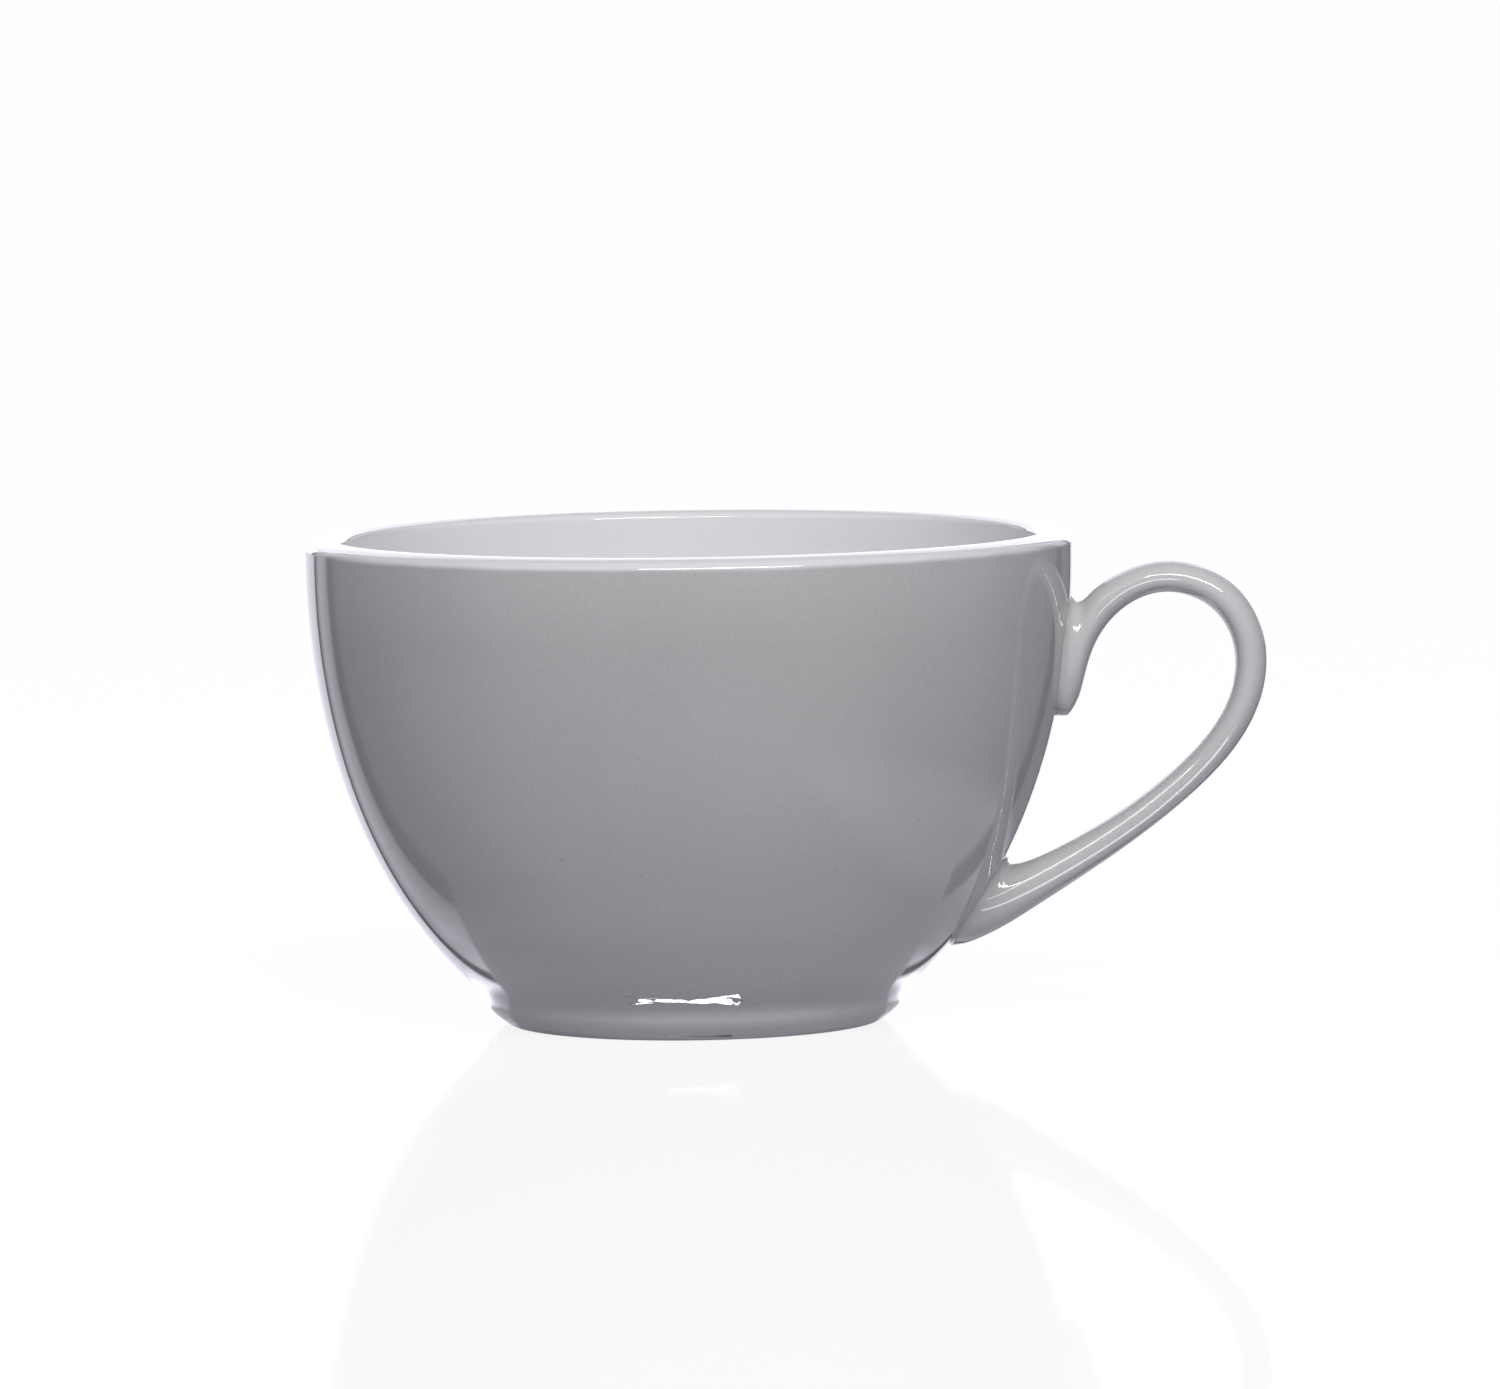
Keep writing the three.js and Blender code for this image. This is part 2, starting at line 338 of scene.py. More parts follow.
def ranged(wiring, value, from_low, from_high, to_low, to_high, smooth=False):
    made = wiring.node("ShaderNodeMapRange", {
        "Value": value, "From Min": from_low, "From Max": from_high, "To Min": to_low, "To Max": to_high,
    })
    made.interpolation_type = "SMOOTHSTEP" if smooth else "LINEAR"
    return made.outputs["Result"]


def mixed(wiring, share, first, second, blend="MIX"):
    made = wiring.node("ShaderNodeMix", data_type="RGBA", blend_type=blend)
    wiring.feed(made.inputs["Factor"], share)
    wiring.feed(made.inputs["A"], first)
    wiring.feed(made.inputs["B"], second)
    return made.outputs["Result"]


def steps_of(wiring, value, stops):
    """A number that runs through a few stops (value, number) in straight lines."""
    level = stops[0][1]
    for (start, before), (stop, after) in zip(stops, stops[1:]):
        rise = ranged(wiring, value, start, stop, 0.0, after - before)
        level = wiring.plus(level, rise)
    return level


# %% Clouds, grain and pinholes in a glaze
CLOUD_SCALE = 45.0
GRAIN_SCALE = 2600.0
GRAIN_SPAN = (0.25, 0.75)
PINHOLE_SCALE = 210.0
PINHOLE_RARITY = 0.72
PINHOLE_EDGE = (0.018, 0.032)


def glaze_grain(wiring, place, cloud_share, grain_share, pinhole_tone):
    """A grey factor round 1 that clouds and grains a colour, and the pinholes apart."""
    clouds = noise(wiring, place, CLOUD_SCALE, 2.0)
    cloud = ranged(wiring, clouds, *NOISE_SPAN, 1 - cloud_share, 1 + cloud_share)
    grains = noise(wiring, place, GRAIN_SCALE, 3.0)
    grain = ranged(wiring, grains, *GRAIN_SPAN, 1 - grain_share, 1 + grain_share)
    cells = wiring.node("ShaderNodeTexVoronoi", {"Vector": place, "Scale": PINHOLE_SCALE})
    cell_tone = wiring.node("ShaderNodeSeparateColor", {0: cells.outputs["Color"]}).outputs[0]
    rare = wiring.math("GREATER_THAN", cell_tone, PINHOLE_RARITY)
    dot = ranged(wiring, cells.outputs["Distance"], *PINHOLE_EDGE, 1.0, 0.0)
    pinhole = wiring.times(dot, rare)
    tone = wiring.times(cloud, grain)
    return wiring.times(tone, ranged(wiring, pinhole, 0.0, 1.0, 1.0, pinhole_tone)), pinhole


print(f"clouds of {1 / CLOUD_SCALE / MM:.0f} mm, grain of {1 / GRAIN_SCALE / MM:.1f} mm")
print(f"a pinhole in some of the cells, which are {1 / PINHOLE_SCALE / MM:.1f} mm wide")


# %% The surface of a glaze: its gloss and its orange peel
SMEAR_SCALE = 60.0
GLAZE_ROUGHNESS = (0.03, 0.045)
GLAZE_IOR = 1.57
WAVE_SCALE = 130.0
WAVE_HEIGHT = 0.04
CALM_SHARE = 0.15
SKIN_SCALE = 1500.0
SKIN_HEIGHT = 0.002
PIT_DEPTH = 0.04
PIT_STRENGTH = 0.6


def glaze_gloss(wiring, place, shader):
    """Sets the glaze's index and returns its roughness, which is smeared a little."""
    shader.inputs["IOR"].default_value = GLAZE_IOR
    return ranged(wiring, noise(wiring, place, SMEAR_SCALE, 3.0), *NOISE_SPAN, *GLAZE_ROUGHNESS)


def orange_peel(wiring, place, shader, pinhole, strength, facing=None, calm=0.0):
    """Bump for the faint waves of a run glaze, its finer skin, and the pits of its pinholes."""
    waves = wiring.node("ShaderNodeBump", {
        "Height": noise(wiring, place, WAVE_SCALE, 1.0), "Distance": WAVE_HEIGHT * MM,
        "Strength": strength,
    })
    if facing is not None:
        wiring.feed(waves.inputs["Normal"], facing)
        calmer = ranged(wiring, calm, 0.0, 1.0, strength, strength * CALM_SHARE)
        wiring.feed(waves.inputs["Strength"], calmer)
    skin = wiring.node("ShaderNodeBump", {
        "Height": noise(wiring, place, SKIN_SCALE, 2.0), "Distance": SKIN_HEIGHT * MM,
        "Strength": strength, "Normal": waves.outputs[0],
    })
    pits = wiring.node("ShaderNodeBump", {
        "Height": pinhole, "Distance": PIT_DEPTH * MM, "Strength": PIT_STRENGTH,
        "Normal": skin.outputs[0],
    }, invert=True)
    wiring.feed(shader.inputs["Normal"], pits.outputs[0])


print(f"peel with waves of {1 / WAVE_SCALE / MM:.1f} mm and a skin of {1 / SKIN_SCALE / MM:.1f} mm")


# %% White porcelain for the bowl and the lip
WHITE_BODY = (0.785, 0.785, 0.80, 1.0)
WHITE_BODY_WARM = (0.80, 0.795, 0.795, 1.0)
WHITE_CLOUD_SCALE = 30.0
WHITE_PEEL = 0.35
# Painted shade on the lip: its up-facing top gets more light, so its white is made a tenth darker from the
# mouth to the crown and on outwards.
LIP_PAINTED_SHADE = 0.90
LIP_PAINTED_SHADE_START = MOUTH_RADIUS + 0.1


def make_white():
    """White all over, with painted shade on the lip, which grows from the mouth to a tenth at the crown and
    stays so outwards.
    """
    finish, wiring, shader = new_finish("white_porcelain")
    place = wiring.node("ShaderNodeTexCoord").outputs["Object"]
    tone, pinhole = glaze_grain(wiring, place, cloud_share=0.008, grain_share=0.008, pinhole_tone=0.82)
    warmth = noise(wiring, place, WHITE_CLOUD_SCALE, 1.0)
    base = mixed(wiring, warmth, WHITE_BODY, WHITE_BODY_WARM)
    x, y, _ = wiring.parts(place)
    level = wiring.joined(wiring.minus(x, AXIS_X), y, 0.0)
    reach = wiring.node("ShaderNodeVectorMath", {0: level}, operation="LENGTH").outputs["Value"]
    # Painted shade on the lip's top.
    lip_painted_shade = ranged(wiring, reach, LIP_PAINTED_SHADE_START * MM, CROWN_RADIUS * MM, 1.0, LIP_PAINTED_SHADE, smooth=True)
    tone = wiring.times(tone, lip_painted_shade)
    wiring.feed(shader.inputs["Base Color"], mixed(wiring, 1.0, base, tone, "MULTIPLY"))
    wiring.feed(shader.inputs["Roughness"], glaze_gloss(wiring, place, shader))
    orange_peel(wiring, place, shader, pinhole, WHITE_PEEL)
    return finish


white_porcelain = make_white()
print("made", white_porcelain.name, "with", len(white_porcelain.node_tree.nodes), "nodes")

# %% [markdown]
# ### Highlights that the glaze gathers
#
# Glaze pools in the neck above the foot and at the foot's lower edge, and the pools catch the soft
# box in short bright lines. Modelled, such a pool would be a bead of a tenth of a millimetre, too
# fine for the mesh. So the foot's glaze only turns its normal a little upwards inside a frayed
# outline, which is narrow in the middle and wider at its ends, and the lamp does the rest.


# %% The normal on a bead of glaze
BEAD_SWELL_SCALE = 420.0
BEAD_SWELL_SHARE = 0.4
BEAD_FRAY_SCALE = 1100.0
BEAD_FRAY_SHARES = (-0.10, 0.14)
BEAD_END_SHARE = 0.88
BEAD_WAIST_SHARE = 0.32
BEAD_WAIST_REACH_SHARES = (0.15, 0.95)
BEAD_EDGE_SHARES = (0.40, 0.50)
BEAD_TILT = (math.radians(23.7), math.radians(22.7))
BEAD_AIM = math.radians(10.0)
BEAD_TURN_SHARE = 0.6
STROKES_PER_RADIAN = 9.0
STROKES_ACROSS = 4.0
STROKE_FADE_SHARE = 0.1
STROKE_BARE_SHARES = (0.66, 0.30)
STROKE_EDGE = 0.05


def bead_strokes(wiring, turn, z, tall, left):
    """Brush strokes along a bead, which thin out towards its left end."""
    spot = wiring.joined(wiring.times(turn, STROKES_PER_RADIAN), 0.0, wiring.times(z, STROKES_ACROSS / tall))
    bare = ranged(wiring, turn, left, left * STROKE_FADE_SHARE, *STROKE_BARE_SHARES)
    over = wiring.minus(noise(wiring, spot, 1.0, 1.0), bare)
    return ranged(wiring, over, 0.0, STROKE_EDGE, 0.0, 1.0)


def bead_facing(wiring, turn, rise, tall):
    """The way a bead faces: out from the foot, but less to the sides than the foot does, and up."""
    tilt = ranged(wiring, rise, -tall / 2, tall / 2, *BEAD_TILT)
    aim = wiring.math("MULTIPLY_ADD", turn, BEAD_TURN_SHARE, BEAD_AIM * (1 - BEAD_TURN_SHARE))
    back = wiring.times(wiring.math("COSINE", aim), -1.0)
    level = wiring.node("ShaderNodeVectorMath", {
        0: wiring.joined(wiring.math("SINE", aim), back, 0.0), "Scale": wiring.math("COSINE", tilt),
    }, operation="SCALE").outputs[0]
    upright = wiring.joined(0.0, 0.0, wiring.math("SINE", tilt))
    return wiring.node("ShaderNodeVectorMath", {0: level, 1: upright}, operation="ADD").outputs[0]


def bead_normal(wiring, place, low, high, left, right):
    """Where a bead between two heights (mm) and two turns (degrees) is, and which way it faces."""
    low, high, left, right = low * MM, high * MM, math.radians(left), math.radians(right)
    tall, half = high - low, (right - left) / 2
    x, y, z = wiring.parts(place)
    turn = wiring.math("ARCTAN2", wiring.minus(x, AXIS_X), wiring.times(y, -1.0))
    swing = wiring.math("ABSOLUTE", wiring.minus(turn, (left + right) / 2))
    fray = noise(wiring, place, BEAD_FRAY_SCALE, 1.0)
    frayed = ranged(wiring, fray, *NOISE_SPAN, *(half * share for share in BEAD_FRAY_SHARES))
    along = ranged(wiring, wiring.plus(swing, frayed), half * BEAD_END_SHARE, half, 1.0, 0.0)
    along = wiring.times(along, bead_strokes(wiring, turn, z, tall, left))
    swell = wiring.minus(noise(wiring, place, BEAD_SWELL_SCALE, 2.0), 0.5)
    height = wiring.plus(z, wiring.times(swell, tall * BEAD_SWELL_SHARE))
    rise = wiring.minus(height, (low + high) / 2)
    waist, end = (half * share for share in BEAD_WAIST_REACH_SHARES)
    spread = ranged(wiring, swing, waist, end, BEAD_WAIST_SHARE, 1.0, smooth=True)
    off = wiring.over(wiring.math("ABSOLUTE", rise), spread)
    across = ranged(wiring, off, *(tall * share for share in BEAD_EDGE_SHARES), 1.0, 0.0, smooth=True)
    return wiring.times(along, across), bead_facing(wiring, turn, rise, tall)


print("beads look up by", [round(math.degrees(tilt), 1) for tilt in BEAD_TILT], "degrees")

# %% [markdown]
# The handle is cast, and its sides keep faint ridges that run along it and catch the soft box in
# thin pale lines. The sweep below stores on each point how far along the run and how far across
# the strap it lies, so a line can follow the strap. The glaze is rougher inside a line, which
# makes the line soft.

# %% The normal on a thin line along the handle
LINE_AIM = (0.161, 0.913, 0.375)
LINE_ROUGHNESS = 0.34
LINE_WANDER_SCALE = 60.0
LINE_WANDER = 0.05
LINE_CORE_SHARE = 0.5
LINE_START_FADE = 0.03
LINE_STOP_FADE = 0.02


def stored_on_sweep(wiring, name):
    made = wiring.node("ShaderNodeAttribute", attribute_type="GEOMETRY", attribute_name=name)
    return made.outputs["Fac"]


def strap_line(wiring, place, start, stop, offset, half_width):
    """Where a line between two shares of the run is, at stops (share, mm across), and its facing."""
    along, across = stored_on_sweep(wiring, "run_share"), stored_on_sweep(wiring, "across_mm")
    swing = wiring.minus(noise(wiring, place, LINE_WANDER_SCALE, 1.0), 0.5)
    wander = wiring.times(swing, LINE_WANDER)
    off = wiring.minus(across, steps_of(wiring, along, offset))
    away = wiring.math("ABSOLUTE", wiring.plus(off, wander))
    share = ranged(wiring, away, half_width * LINE_CORE_SHARE, half_width, 1.0, 0.0)
    begins = ranged(wiring, along, start, start + LINE_START_FADE, 0.0, 1.0, smooth=True)
    ends = ranged(wiring, along, stop - LINE_STOP_FADE, stop, 1.0, 0.0, smooth=True)
    share = wiring.times(share, wiring.times(begins, ends))
    side = wiring.math("SIGN", wiring.parts(place)[1])
    out, aside, up = LINE_AIM
    return share, wiring.joined(out, wiring.times(side, aside), up)


print("lines on the handle face", LINE_AIM)

# %% [markdown]
# ### Grey glaze
#
# The grey glaze is poured on the outside and wiped off the lip before firing, so it thins out
# over less than a millimetre and the white shows through. Two meshes with a sharp edge would look
# like a painted line. Here the coat thins out in its shape and fades in its colour, by height,
# and a little noise keeps the edge from being a perfect circle. Its grey also changes with the
# height: lighter at the foot and under the lip, darker on the middle of the wall. That is partly
# the glaze, which runs down while it melts, and partly painted light and shade for how the light
# falls at each height, most of all painted light on the foot, which faces down.

# %% Grey glaze, which fades to white under the lip
GLAZE_GREY = (0.485, 0.482, 0.485, 1.0)
GLAZE_GREY_WARM = (0.500, 0.497, 0.488, 1.0)
GREY_CLOUD_SCALE = 25.0
GREY_PEEL = 0.5
HANDLE_TONE = 1.15
FADE_START = 59.35
FADE_STOP = 60.15
FADE_WANDER_SCALE = 90.0
FADE_WANDER = 0.12
# Brightness by height, partly the glaze and partly painted light and shade: the foot is painted lighter
# where it faces down, the middle of the wall darker.
COAT_TONES_AND_PAINTED_LIGHT = [
    (0, 1.25), (2.2, 1.16), (4.0, 1.02), (8, 0.96), (12, 0.88), (20, 0.88), (34, 0.85), (50, 0.84),
    (58, 0.91),
]


def coat_colour_and_painted_light(wiring, place, colour):
    """The glaze's colour by height, in steps (mm, brightness) that hold painted light and shade, and its
    fade to the lip's white.
    """
    height = wiring.parts(place)[2]
    ragged = noise(wiring, place, FADE_WANDER_SCALE, 2.0)
    wander = ranged(wiring, ragged, *NOISE_SPAN, -FADE_WANDER * MM, FADE_WANDER * MM)
    edge = wiring.plus(height, wander)
    bare = ranged(wiring, edge, FADE_START * MM, FADE_STOP * MM, 0.0, 1.0, smooth=True)
    tones = steps_of(wiring, height, [(stop * MM, tone) for stop, tone in COAT_TONES_AND_PAINTED_LIGHT])
    colour = mixed(wiring, 1.0, colour, tones, "MULTIPLY")
    # The white left under the coat's fade keeps the lip's painted shade.
    lip_white = [channel * LIP_PAINTED_SHADE for channel in WHITE_BODY[:3]] + [1.0]
    return mixed(wiring, bare, colour, lip_white)


def make_grey(name, by_height=False, tone_share=1.0, beads=(), lines=()):
    """The grey glaze, with its colours and painted light and shade by height or plain, and its beads and
    lines, if any.
    """
    finish, wiring, shader = new_finish(name)
    place = wiring.node("ShaderNodeTexCoord").outputs["Object"]
    tone, pinhole = glaze_grain(wiring, place, cloud_share=0.025, grain_share=0.05, pinhole_tone=0.7)
    tone = wiring.times(tone, tone_share)
    warmth = noise(wiring, place, GREY_CLOUD_SCALE, 1.0)
    colour = mixed(wiring, 1.0, mixed(wiring, warmth, GLAZE_GREY, GLAZE_GREY_WARM), tone, "MULTIPLY")
    if by_height:
        colour = coat_colour_and_painted_light(wiring, place, colour)
    wiring.feed(shader.inputs["Base Color"], colour)
    roughness = glaze_gloss(wiring, place, shader)
    tilted = [bead_normal(wiring, place, *bead) for bead in beads]
    for line in lines:
        tilted.append(strap_line(wiring, place, *line))
        roughness = wiring.blend(tilted[-1][0], roughness, LINE_ROUGHNESS)
    wiring.feed(shader.inputs["Roughness"], roughness)
    facing, calm = None, 0.0
    for share, faced in tilted:
        if facing is None:
            facing = wiring.node("ShaderNodeNewGeometry").outputs["Normal"]
        calm = wiring.math("MAXIMUM", share, calm)
        turned = wiring.node("ShaderNodeMix", {
            "Factor": share, "A": facing, "B": faced,
        }, data_type="VECTOR")
        facing = turned.outputs["Result"]
    orange_peel(wiring, place, shader, pinhole, GREY_PEEL, facing, calm)
    return finish


# %% Three grey finishes: the coat's, the handle's with its lines, the foot's with its beads
HANDLE_LINES = [
    (0.595, 0.960, [(0.60, 0.42), (0.70, 0.62), (0.94, 0.62)], 0.20),
    (0.640, 0.960, [(0.64, -0.60), (0.80, -0.78), (0.94, -0.95)], 0.13),
    (0.190, 0.400, [(0.19, -0.36), (0.33, -0.18), (0.40, -0.10)], 0.12),
]
FOOT_BEADS = [(4.60, 6.30, -16.0, 17.0), (0.40, 0.70, -6.0, 17.0)]

coat_glaze = make_grey("grey_glaze_coat", by_height=True)
handle_glaze = make_grey("grey_glaze_handle", tone_share=HANDLE_TONE, lines=HANDLE_LINES)
foot_glaze = make_grey("grey_glaze_foot", by_height=True, beads=FOOT_BEADS)
print("made", coat_glaze.name, handle_glaze.name, "and", foot_glaze.name)

# %% [markdown]
# ## The bowl
#
# The real bowl is one wall of white porcelain, thick at the bottom, with a rolled lip. Under the
# coat of glaze its outside lies a little lower, and it comes up to the coat's level where the
# coat thins out below the lip. It is turned from one closed profile, from the middle of the
# underside, up the outside, over the lip, and down the inside to the middle of the floor.

# %% Bowl: white body and lip
COAT_STOP = 60.3
COAT_DEPTH = 0.5
COAT_TAPER = 1.3
LIP_FEATHER = 0.03
HOLLOW_STEPS = 16
WALL_STEPS = 60
OUTER_LIP_STEPS = 16
INNER_LIP_STEPS = 18
INSIDE_STEPS = 70


def clay_depth(height):
    """How far the clay lies under the coat's face: all of it low down, almost nothing at the lip."""
    share = min(1.0, max(0.0, (COAT_STOP - height) / COAT_TAPER))
    return LIP_FEATHER + (COAT_DEPTH - LIP_FEATHER) * share * share * (3 - 2 * share)


def set_in(line, depth_at):
    """A line's points, moved in square to it by a depth that follows the height."""
    moved = []
    for (radius, height), (next_radius, next_height) in zip(line, line[1:]):
        run, rise = next_radius - radius, next_height - height
        length = math.hypot(run, rise)
        depth = depth_at(height)
        moved.append((radius - depth * rise / length, height + depth * run / length))
    return moved


def lip_line():
    """The outer side of the lip from the coat's end to the crown, then over to the mouth."""
    first_turn = math.asin((COAT_STOP - WALL_TOP) / LIP_OUTER_DROP)
    points = [lip_point(turn, LIP_OUTER_WIDTH, WALL_TOP, LIP_OUTER_DROP)
              for turn in np.linspace(first_turn, math.pi / 2, OUTER_LIP_STEPS)]
    points += [lip_point(turn, CROWN_RADIUS - MOUTH_RADIUS, MOUTH_HEIGHT, LIP_INNER_DROP)
               for turn in np.linspace(math.pi / 2, math.pi, INNER_LIP_STEPS)[1:]]
    return points


def inside_line():
    """The inside from the mouth to the middle of the floor, a quarter of a superellipse."""
    depth = MOUTH_HEIGHT - INSIDE_FLOOR
    points = []
    for turn in np.linspace(0, math.pi / 2, INSIDE_STEPS)[1:-1]:
        radius = MOUTH_RADIUS * math.cos(turn) ** (2 / INSIDE_FULLNESS)
        points.append((radius, MOUTH_HEIGHT - depth * math.sin(turn) ** (2 / INSIDE_FULLNESS)))
    return points + [(0.0, INSIDE_FLOOR)]


def bowl_profile():
    hollow = [(radius, FOOT_HEIGHT + HOLLOW_RISE * (1 - (radius / BORE_RADIUS) ** 2))
              for radius in np.linspace(0, BORE_RADIUS, HOLLOW_STEPS)]
    under_coat = set_in(outside_line(FOOT_HEIGHT, COAT_STOP, WALL_STEPS), clay_depth)
    return hollow + under_coat + lip_line() + inside_line()


bowl = turned_piece("bowl_body", bowl_profile(), white_porcelain)

# %% [markdown]
# ## The coat of glaze
#
# The glaze on the outside is a skin of glass, less than half a millimetre thick. It could be only
# a colour on the bowl, but as a closed shell of its own it can be swapped or recoloured, and it
# keeps the soft shoulder that the glaze has where it ends. Its outer face is the wall's rule.

# %% Coat: a thin shell from the neck to the lip
COAT_THICKNESS = 0.4
COAT_CLEARANCE = 0.1
COAT_EDGE = 0.012
COAT_START = 5.0
COAT_STEPS = 90


def coat_thickness(height):
    """The coat's thickness: what the clay leaves free, down to a thin edge at the lip."""
    depth = clay_depth(height)
    return min(COAT_THICKNESS, max(COAT_EDGE, depth - COAT_CLEARANCE * depth / COAT_DEPTH))


def coat_profile():
    outer = outside_line(COAT_START, COAT_STOP, COAT_STEPS)
    last_radius, last_height = outer[-1]
    tip = (last_radius - COAT_EDGE, last_height)
    return outer + [tip] + set_in(outer, coat_thickness)[::-1] + [outer[0]]


coat = turned_piece("glaze_coat", coat_profile(), coat_glaze)

# %% [markdown]
# ## The foot
#
# A cup stands on a ring that is turned with the bowl: it leaves the wall in a soft hollow neck,
# swells a little, then rolls under to a narrow flat face. A few points and a spline give that
# line, because it follows the turner's hand and no rule. The ring's skin starts a little above
# the neck, flush with the coat, so that no groove shows between the two.

# %% Foot: neck, side, flat bearing face and bore, as points (radius, height)
NECK_BLEND = 6.9
NECK_HEIGHTS = (NECK_BLEND, 6.4, 5.9, 5.45)
NECK_START_STEP = 0.008
FOOT_PROUD = 0.006
FOOT_SIDE = [
    (27.86, 5.0), (27.36, 4.5), (26.93, 4.0), (26.58, 3.5), (26.30, 3.0), (26.02, 2.5), (25.66, 2.0),
    (25.20, 1.5), (24.62, 1.0), (24.00, 0.55), (23.58, 0.22), (BEARING_RADIUS, 0.0),
]
BEARING_INNER = 21.9
FOOT_UNDER = [
    (BEARING_INNER, 0.0), (21.5, 0.12), (21.15, 0.45), (BORE_RADIUS, 1.0), (BORE_RADIUS, 3.9),
    (20.75, 4.35), (20.4, 4.62), (24.0, 5.2),
]
UNDER_COAT_DROP = 0.5
UNDER_COAT_DEPTH = 0.45
UNDER_COAT_TOP = 0.4
FOOT_STEPS = 110


def smooth_line(points, steps):
    """A soft line through a few points: a natural cubic spline over their distances."""
    points = np.array(points, float)
    stops = np.concatenate([[0], np.cumsum(np.linalg.norm(np.diff(points, axis=0), axis=1))])
    return natural_spline(stops, points, np.linspace(0, stops[-1], steps))


def natural_spline(stops, values, at):
    """Natural cubic spline of one or more columns, evaluated at new stops."""
    stops, values, at = np.asarray(stops, float), np.asarray(values, float), np.asarray(at, float)
    gaps = np.diff(stops)
    count = len(stops)
    system, right = np.eye(count), np.zeros((count,) + values.shape[1:])
    for i in range(1, count - 1):
        system[i, i - 1:i + 2] = gaps[i - 1], 2 * (gaps[i - 1] + gaps[i]), gaps[i]
        right[i] = 6 * ((values[i + 1] - values[i]) / gaps[i] - (values[i] - values[i - 1]) / gaps[i - 1])
    bend = np.linalg.solve(system, right)
    cell = np.clip(np.searchsorted(stops, at, side="right") - 1, 0, count - 2)
    low, high, gap = stops[cell], stops[cell + 1], gaps[cell]
    shape = (-1,) + (1,) * (values.ndim - 1)
    a, b = ((high - at) / gap).reshape(shape), ((at - low) / gap).reshape(shape)
    gap = gap.reshape(shape)
    curved = ((a ** 3 - a) * bend[cell] + (b ** 3 - b) * bend[cell + 1]) * gap ** 2 / 6
    return a * values[cell] + b * values[cell + 1] + curved


def foot_profile():
    blend = [(float(wall_radius(height)) + FOOT_PROUD, height) for height in NECK_HEIGHTS]
    outer = smooth_line(blend + FOOT_SIDE, FOOT_STEPS)
    outer = [(float(radius), float(height)) for radius, height in outer]
    second = NECK_BLEND - NECK_START_STEP
    outer.insert(1, (float(wall_radius(second)) + FOOT_PROUD, second))
    inner_radius = float(wall_radius(NECK_BLEND - UNDER_COAT_DROP)) - UNDER_COAT_DEPTH
    under_coat = [(inner_radius, NECK_BLEND - UNDER_COAT_TOP)]
    return outer + FOOT_UNDER + under_coat + [outer[0]]


foot = turned_piece("foot_ring_skin", foot_profile(), foot_glaze)

# %% [markdown]
# ## The handle
#
# The handle is cast in its own mould and stuck on with slip. Its section is a rounded strap that
# swells where it meets the wall. A bevelled curve would give one section all the way, so a second
# Geometry Nodes tree sweeps a section whose thickness, width and lean are stored along the run.
# The run is told from the wall: how far out, how high, and how far it leans from square to the
# wall beside it, so both roots stay on the wall when the cup's size changes.

# %% The handle's run: out from the wall, up, thickness, width and lean from square to the wall
HANDLE_FOOT = 8.2
HANDLE_TOP = 57.5
HANDLE_REACH = 25.3
HANDLE_THICKNESS = 3.85
HANDLE_WIDTH = 7.0
HANDLE_SQUARENESS = 2.05
HANDLE_RUN_SHARES = [
    (0.000, 0.747, 3.72, 1.40, 98), (0.021, 0.753, 3.56, 1.34, 98), (0.063, 0.775, 3.05, 1.24, 96),
    (0.095, 0.819, 2.45, 1.14, 93), (0.137, 0.864, 1.89, 1.07, 90), (0.206, 0.904, 1.45, 1.03, 88.5),
    (0.314, 0.939, 1.14, 1.00, 88.5), (0.471, 0.957, 1.05, 1.00, 86), (0.667, 0.932, 1.08, 1.00, 69),
    (0.820, 0.864, 1.08, 1.00, 45.5), (0.909, 0.763, 1.04, 1.00, 20), (0.918, 0.648, 1.00, 1.00, -5.5),
    (0.844, 0.530, 1.00, 1.00, -21.5), (0.683, 0.412, 1.00, 1.00, -29), (0.489, 0.305, 1.08, 1.00, -33.5),
    (0.284, 0.213, 1.29, 1.06, -37), (0.170, 0.168, 1.61, 1.14, -50.5), (0.094, 0.142, 2.24, 1.24, -70),
    (0.031, 0.129, 2.95, 1.34, -82.5), (0.000, 0.128, 3.30, 1.40, -89.5),
]
STATION_COUNT = 190
FREE_START, FREE_STOP, FREE_FADE = 3.5, 16.0, 2.5
SOFTENING_REACH = 4


def softened(values, reach):
    """Evens out small unsteadiness along a run, and leaves both ends where they are."""
    weights = np.exp(-0.5 * (np.arange(-3 * reach, 3 * reach + 1) / reach) ** 2)
    weights /= weights.sum()
    before = 2 * values[:1] - values[3 * reach:0:-1]
    after = 2 * values[-1:] - values[-2:-3 * reach - 2:-1]
    padded = np.concatenate([before, values, after])
    return np.stack([np.convolve(column, weights, "valid") for column in padded.T], axis=1)


def handle_stations(count):
    """Middle (x, z), thickness, width and lean at many steps along the run, in millimetres."""
    rows = np.array(HANDLE_RUN_SHARES, float)
    height = HANDLE_FOOT + (HANDLE_TOP - HANDLE_FOOT) * rows[:, 1]
    across = wall_radius(height) + HANDLE_REACH * rows[:, 0]
    thickness, width = HANDLE_THICKNESS * rows[:, 2], HANDLE_WIDTH * rows[:, 3]
    lean = rows[:, 4] - np.degrees(np.arctan(wall_slope(height)))
    columns = np.stack([across, height, thickness, width, lean], axis=1)
    at = np.linspace(0, len(rows) - 1, count)
    dense = natural_spline(np.arange(len(rows)), columns, at)
    free = np.clip((at - FREE_START) / FREE_FADE, 0, 1) * np.clip((FREE_STOP - at) / FREE_FADE, 0, 1)
    return dense + free[:, None] * (softened(dense, SOFTENING_REACH) - dense)


stations = handle_stations(STATION_COUNT)
thinnest = float(stations[:, 2].min())
print("handle run has", len(stations), "stations, thinnest", round(thinnest, 2), "mm")


